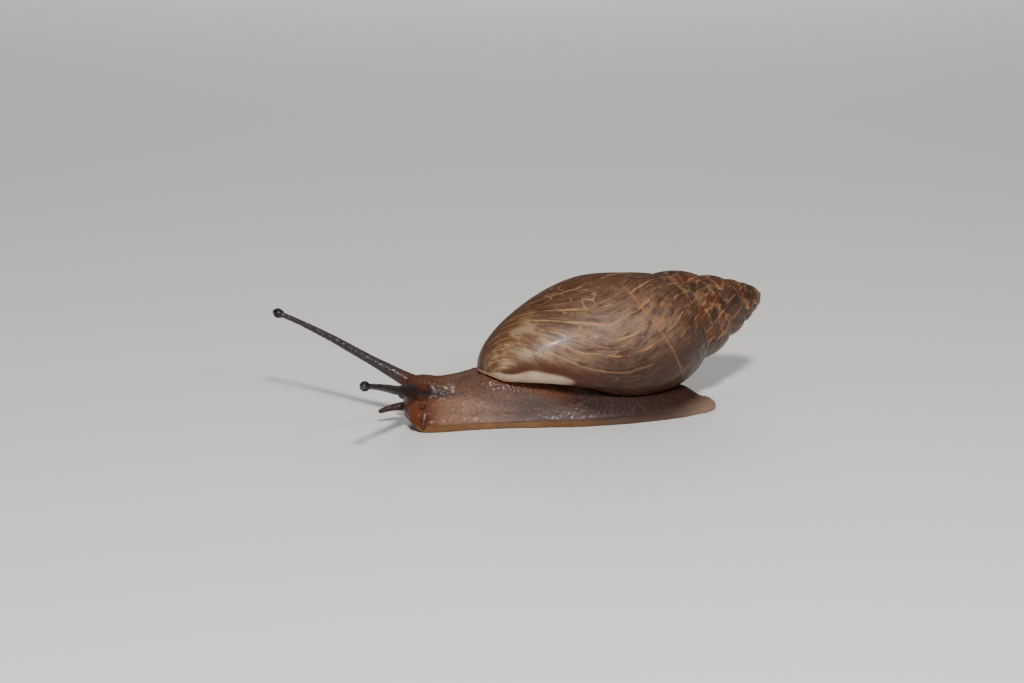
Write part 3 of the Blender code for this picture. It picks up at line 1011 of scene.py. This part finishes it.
def growth_stripes(paint, line, below, start, spacing, sway, width, kept, seed):
    """Long wavy lines along the growth of the shell, with gaps in them."""
    slow = paint.grain(line * 0.14, below * 0.12, seed, 1.0)
    quick = paint.grain(line * 0.5, below * 0.45, seed + 3.0, 2.0, 0.6)
    wander = (slow - 0.5) * sway + (quick - 0.5) * (sway * 0.45)
    row = (line - start + wander) * (1.0 / spacing) + 0.5
    number = row.math("FLOOR", row)
    away = (row - number - 0.5).absolute()
    chosen = paint.node("TexWhiteNoise", {"noise_dimensions": "1D"}, {"W": number + seed}, "Value")
    unbroken = paint.grain(number * 3.7, below * 0.17, seed, 2.0, 0.6)
    drawn = unbroken.rise(0.42, 0.54) * chosen.rise(1.0 - kept, 1.08 - kept)
    return away.rise(width / spacing, 0.0) * drawn


def shell_finish():
    material, paint, shader = new_finish("glossy_brown_shell")
    turn, line, below = paint.values_of("turn", "growth_line", "below_suture")
    above, level, lip_rim = paint.values_of("above_suture", "level", "lip_rim")
    place = paint.place()
    patches = paint.noise(place, 150.0, 3.0, 0.6)
    blotches = paint.noise(place, 480.0, 3.0, 0.6)
    ridge = line + (paint.grain(line * 0.16, below * 0.12, 2.0) - 0.5) * 2.0
    fine = paint.grain(ridge * 2.4, below * 0.26, 0.0, 3.0, 0.65)
    bands = paint.grain(ridge * 0.6, below * 0.1, 4.0, 3.0, 0.6)
    marble = paint.grain(ridge * 0.85, below * 0.36, 9.0, 4.0, 0.68)

    # Ground colours: greyish at the middle and darker toward the suture; painted shade darkens and reddens
    # the top and darkens the low side.
    # painted shade on the top of the whorl
    upper = turn.rise(-0.44, -0.28)
    # painted shade on the low side, which also dims the pale marks there through lit
    under = turn.rise(-0.43, -0.56)
    lit = 1.0 - under * 0.6
    front = level.rise(43.5, 47.5) * turn.rise(-0.2, -0.32)
    mottle = paint.grain(line * 0.2, level * 0.42, 5.0, 3.5, 0.65)
    body = paint.colour(108, 84, 71).coats(
        (patches.rise(0.4, 0.7), 86, 59, 43),
        (marble.rise(0.5, 0.6) * 0.48, 136, 103, 62),
        (marble.rise(0.48, 0.38) * 0.75, 62, 36, 24),
        (upper * 0.86, 70, 37, 14),
        (below.rise(10.0, 2.0) * 0.65, 62, 36, 24),
        (under * level.rise(46.0, 38.0) * 0.88, 42, 15, 2),
        (bands.rise(0.52, 0.7) * 0.45, 54, 35, 25),
        (bands.rise(0.46, 0.3) * 0.25 * lit, 126, 96, 70),
        (front * 0.7, 104, 74, 50),
        (front * mottle.rise(0.46, 0.6) * 0.62, 150, 126, 98),
        (front * mottle.rise(0.45, 0.36) * 0.6, 66, 41, 27))

    # Spire: older and darker, with worn red-brown places inside pale edges.
    early = turn.rise(-0.99, -1.01)
    worn = paint.noise(place, 300.0, 2.5, 0.6)
    worn_edge = (worn - 0.53).absolute().rise(0.03, 0.01)
    across = paint.vector((line + (blotches - 0.5) * 3.0) * 0.3, (below + (patches - 0.5) * 3.0) * 0.42, 3.0)
    net = paint.cells(across, 1.0, "DISTANCE_TO_EDGE")
    gaps = patches.rise(0.44, 0.56) * blotches.rise(0.36, 0.52)
    spire = paint.colour(50, 34, 25).coats(
        (bands.rise(0.4, 0.65), 68, 45, 32),
        (worn.rise(0.5, 0.58) * 0.8, 80, 37, 19),
        (worn_edge * blotches.rise(0.42, 0.56) * 0.6, 146, 108, 72),
        (net.rise(0.09, 0.01) * gaps * 0.42, 144, 106, 74))

    # Tan lines that follow the growth.
    unworn = blotches.rise(0.28, 0.52)
    broad_lines = growth_stripes(paint, line, below, 199.6, 3.1, 1.9, 0.3, 0.9, 11.0)
    thin_lines = growth_stripes(paint, line, below, 0.0, 1.05, 1.6, 0.15, 0.55, 23.0)
    pale_marks = blotches.rise(0.58, 0.66) * patches.rise(0.48, 0.6)

    # Low on the side: a brown edge over the turned white lip.
    drop = (49.9 - level).at_least(0.0) * 0.011
    lift = (level - 51.5).at_least(0.0)
    lip_edge = turn + 0.466 + drop - lift * lift * 0.0093 + (patches - 0.5) * 0.02
    amber = lip_edge.rise(0.075, 0.02) * turn.rise(-0.6, -0.56) * level.rise(36.0, 41.0)
    amber = amber * turn.rise(-0.4, -0.43)
    last_whorl = turn.rise(-0.99, -0.95)
    white_lip = lip_edge.rise(0.009, -0.007) * last_whorl * level.rise(42.2, 44.0)
    white_lip = white_lip + lip_rim.rise(0.55, 0.2) * level.rise(47.0, 49.0)
    glaze = turn.rise(-0.6, -0.66) * last_whorl * level.rise(38.0, 42.0)
    lip_tone = paint.colour(168, 146, 124).coats((patches.rise(0.4, 0.6), 142, 112, 88))

    # A healed line runs along the whorl, and the suture's edge is frayed and pale.
    turned_down = (-0.42 - turn).at_least(0.0)
    seam = (below - 11.5 + turned_down * 21.0 + (blotches - 0.5) * 0.4).absolute()
    seam = seam.rise(0.28, 0.06) * turn.rise(-0.64, -0.56) * turn.rise(-0.305, -0.36)
    frayed = below.rise(0.55, 0.1) * blotches.rise(0.35, 0.55)
    scratch = paint.grain(line * 0.17, level * 0.22, 36.0, 1.0)
    scratch = (scratch - 0.5).absolute().rise(0.012, 0.004) * level.rise(34.0, 36.0) * level.rise(43.0, 41.0)
    scratch = scratch * turn.rise(-0.38, -0.34) * turn.rise(-0.2, -0.24) * bands.rise(0.4, 0.52)
    base = body.coats(
        (early, spire),
        (fine.rise(0.54, 0.7) * 0.42 * lit, 150, 114, 72),
        (fine.rise(0.47, 0.3) * 0.5, 38, 21, 12),
        (broad_lines * 0.85 * unworn * lit, 162, 120, 76),
        (thin_lines * 0.22 * lit, 142, 102, 66),
        (pale_marks * 0.35 * lit, 164, 126, 82),
        (amber * 0.92, 64, 25, 2),
        ((white_lip + glaze).at_most(1.0), lip_tone),
        (seam * blotches.rise(0.3, 0.5) * (0.72 - under * 0.3), 140, 92, 54),
        (scratch * 0.4, 164, 142, 124),
        (frayed * 0.4, 138, 102, 70),
        # painted shade in the crease along the suture
        (above.rise(0.25, 0.06) * 0.8, 40, 25, 19),
        (turn.rise(-4.8, -5.6) * 0.5, 120, 94, 74))

    height = fine * 0.5 + bands * 0.3 + blotches * 0.25 + broad_lines * 0.25
    beads = paint.noise(place, 900.0, 1.0).rise(0.6, 0.68)
    paint.feed(shader, {"Base Color": base, "Normal": paint.bump(height, 0.00014, 0.6),
                        "Roughness": 0.42 + blotches.rise(0.4, 0.7) * 0.14 + early * 0.04,
                        "Coat Weight": 0.04 + 0.4 * beads, "Coat Roughness": 0.12,
                        "IOR": 1.5, "Specular IOR Level": 0.3})
    return material


def shell_inside_finish():
    material, paint, shader = new_finish("pale_shell_inside")
    patches = paint.noise(paint.place(), 140.0, 3.0)
    base = paint.colour(214, 190, 176).coats((patches.rise(0.35, 0.65), 196, 160, 140))
    paint.feed(shader, {"Base Color": base, "Roughness": 0.22, "Normal": paint.bump(patches, 0.0002, 0.3)})
    return material


def skin_finish():
    material, paint, shader = new_finish("wet_skin")
    net, fringe, shade = paint.values_of("net", "fringe", "shade")
    feeler, palp, streak = paint.values_of("feeler", "palp", "streak")
    place = paint.place()
    x, y, z = (paint.node("SeparateXYZ", links={"Vector": place}, out=axis) for axis in "XYZ")
    patches = paint.noise(place, 170.0, 3.0, 0.6)
    grain = paint.noise(place, 1300.0, 3.0, 0.6)

    # Tones change along the body, from an orange face to a grey rear, and darken up the back. The dark front
    # of the face is a painted shadow, and the darkening up the back and much of the rear's grey are painted
    # shade under the shell.
    flesh = paint.colour(144, 115, 102).coats(
        (patches.rise(0.35, 0.65), 132, 102, 88),
        # darker and greyer to the rear: partly the flesh's own grey, partly painted shade under the shell;
        # lighter again at the tail
        (x.rise(-0.0125, -0.002) * 0.9, 84, 70, 65),
        (x.rise(0.021, 0.029) * 0.85, 138, 112, 94),
        (x.rise(-0.008, -0.017) * 0.6, 114, 80, 56),
        # painted shadow of the near tentacle over the front of the head, in the flesh's orange
        (x.rise(-0.016, -0.02) * 0.95, 88, 38, 8),
        # painted shade under the shell: darker up the back
        (z.rise(0.0052, 0.008) * 0.75, 70, 42, 29),
        (net * 0.26, 56, 40, 33))
    edge = paint.colour(114, 80, 42).coats((patches.rise(0.4, 0.6), 100, 66, 32), (net * 0.25, 78, 54, 35))
    # painted shade under the shell, orange-brown at the front and nearly black at the rear
    shadow_brown = paint.colour(98, 56, 32).coats((x.rise(-0.004, 0.008), 38, 14, 2))
    # tentacles: the near one painted darker as painted shade, with dark grooves of their net
    horn = paint.colour(56, 47, 49).coats((y.rise(0.0035, 0.0), 34, 26, 29), (net * 0.45, 34, 27, 29))
    base = flesh.coats(
        (fringe * 0.85, edge),
        ((shade * 1.3).at_most(0.95), shadow_brown),
        (feeler, horn),
        (palp * 0.6, 62, 40, 29),
        (streak * 0.9, 26, 18, 21))

    # Low domes between the grooves, with beads of slime on some of the neck's.
    drops = paint.cells(place, 1500.0, "F1")
    chosen = paint.cells(place, 1500.0, "F1", "Color").rise(0.42, 0.5)
    neck = x.rise(-0.015, -0.0125) * x.rise(0.012, 0.002)
    bare = 1.0 - fringe
    beads = (1.0 - drops * drops * 5.0).at_least(0.0) * chosen * neck * bare
    domes = drops * drops * bare * (-0.55 - neck * 0.35)
    pebbled = paint.bump(beads, 0.00005, 1.0, paint.bump(domes, 0.00024, 0.6))
    bumpy = grain * 0.5 + paint.noise(place, 700.0) * 0.5
    wet = beads.rise(0.1, 0.5) * 0.5 - 0.08 - x.rise(-0.011, -0.014) * (1.0 - feeler) * 0.16
    paint.feed(shader, {"Base Color": base, "Normal": paint.bump(bumpy, 0.00003, 0.4, pebbled),
                        "Roughness": 0.28 + grain.rise(0.4, 0.7) * 0.08 + shade * 0.35,
                        "Subsurface Weight": 0.45, "Subsurface Radius": (1.0, 0.4, 0.2),
                        "Subsurface Scale": 0.0014, "Coat Weight": wet.at_least(0.0), "Coat Roughness": 0.05,
                        "Coat IOR": 1.5, "IOR": 1.4, "Specular IOR Level": 0.35})
    return material


def eye_finish():
    material, paint, shader = new_finish("dark_eye")
    patches = paint.noise(paint.place(), 1800.0)
    base = paint.colour(22, 18, 20).coats((patches.rise(0.4, 0.7), 38, 30, 32))
    paint.feed(shader, {"Base Color": base, "Roughness": 0.12 + patches * 0.08,
                        "Coat Weight": 0.8, "Coat Roughness": 0.05})
    return material


def floor_finish():
    material, paint, shader = new_finish("plain_floor")
    paint.feed(shader, {"Base Color": tone(222, 220, 216), "Roughness": 0.8})
    return material


# ---- Set ----

FLOOR_HALF = 1.5
CAMERA_AZIMUTH = radians(-15.0)
CAMERA_ELEVATION = radians(14.0)
CAMERA_DISTANCE = 0.43
CAMERA_AIM = Vector((-0.00554, -0.0001, 0.00291))  # from the middle of the model
CAMERA_LENS = 91.4
SENSOR_WIDTH = 36.0
SKY_COLOUR = (0.86, 0.89, 0.95, 1.0)
SKY_STRENGTH = 0.16
LAMP_AIM = Vector((0.0, 0.0, 0.01))
LAMPS = (  # place, size, power in watts, and whether it shows in the gloss
    ("key", (-0.085, -0.4, 0.33), 0.05, 3.2, True),
    ("second_key", (0.08, -0.45, 0.27), 0.025, 0.5, True),
    ("overhead", (0.04, 0.1, 0.5), 0.4, 0.3, True),
    ("side_fill", (-0.5, -0.1, 0.22), 0.25, 0.15, True),
    ("back_fill", (0.25, 0.9, 0.45), 0.6, 4.5, False),
)


def add_floor():
    bm = bmesh.new()
    bmesh.ops.create_grid(bm, x_segments=4, y_segments=4, size=FLOOR_HALF)
    mesh = bpy.data.meshes.new("floor")
    bm.to_mesh(mesh)
    bm.free()
    floor = put_in_scene("floor", mesh)
    mesh.materials.append(floor_finish())


def add_lamps():
    for name, place, size, power, glints in LAMPS:
        data = bpy.data.lights.new(name, "AREA")
        data.shape = "DISK"
        data.size = size
        data.energy = power
        lamp = put_in_scene(name, data)
        lamp.location = place
        lamp.visible_glossy = glints
        lamp.rotation_euler = (LAMP_AIM - Vector(place)).to_track_quat("-Z", "Y").to_euler()


def add_sky():
    world = bpy.data.worlds.new("studio")
    bpy.context.scene.world = world
    world.use_nodes = True
    background = world.node_tree.nodes["Background"]
    background.inputs["Color"].default_value = SKY_COLOUR
    background.inputs["Strength"].default_value = SKY_STRENGTH


def add_camera():
    low, high = cad_box
    middle = (Vector(low) + Vector(high)) / 2.0
    flat = cos(CAMERA_ELEVATION)
    look = Vector((-sin(CAMERA_AZIMUTH) * flat, cos(CAMERA_AZIMUTH) * flat, -sin(CAMERA_ELEVATION)))
    data = bpy.data.cameras.new("camera")
    data.sensor_width = SENSOR_WIDTH
    data.lens = CAMERA_LENS
    data.clip_start = 0.01
    camera = put_in_scene("camera", data)
    camera.location = middle + CAMERA_AIM - look * CAMERA_DISTANCE
    camera.rotation_euler = look.to_track_quat("-Z", "Y").to_euler()
    bpy.context.scene.camera = camera


def main():
    shell = build_shell(shell_finish(), shell_inside_finish())
    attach(shell, "root")
    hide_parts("shell")
    skin = build_skin(skin_finish())
    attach(skin, "root")
    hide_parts(*SKIN_NODES)
    dark = eye_finish()
    for side, (end, ahead) in feeler_lines()[1].items():
        eye = build_eye(side, end, ahead, dark)
        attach(eye, "root")
        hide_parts("eye_" + side)
    add_floor()
    add_sky()
    add_lamps()
    add_camera()


main()
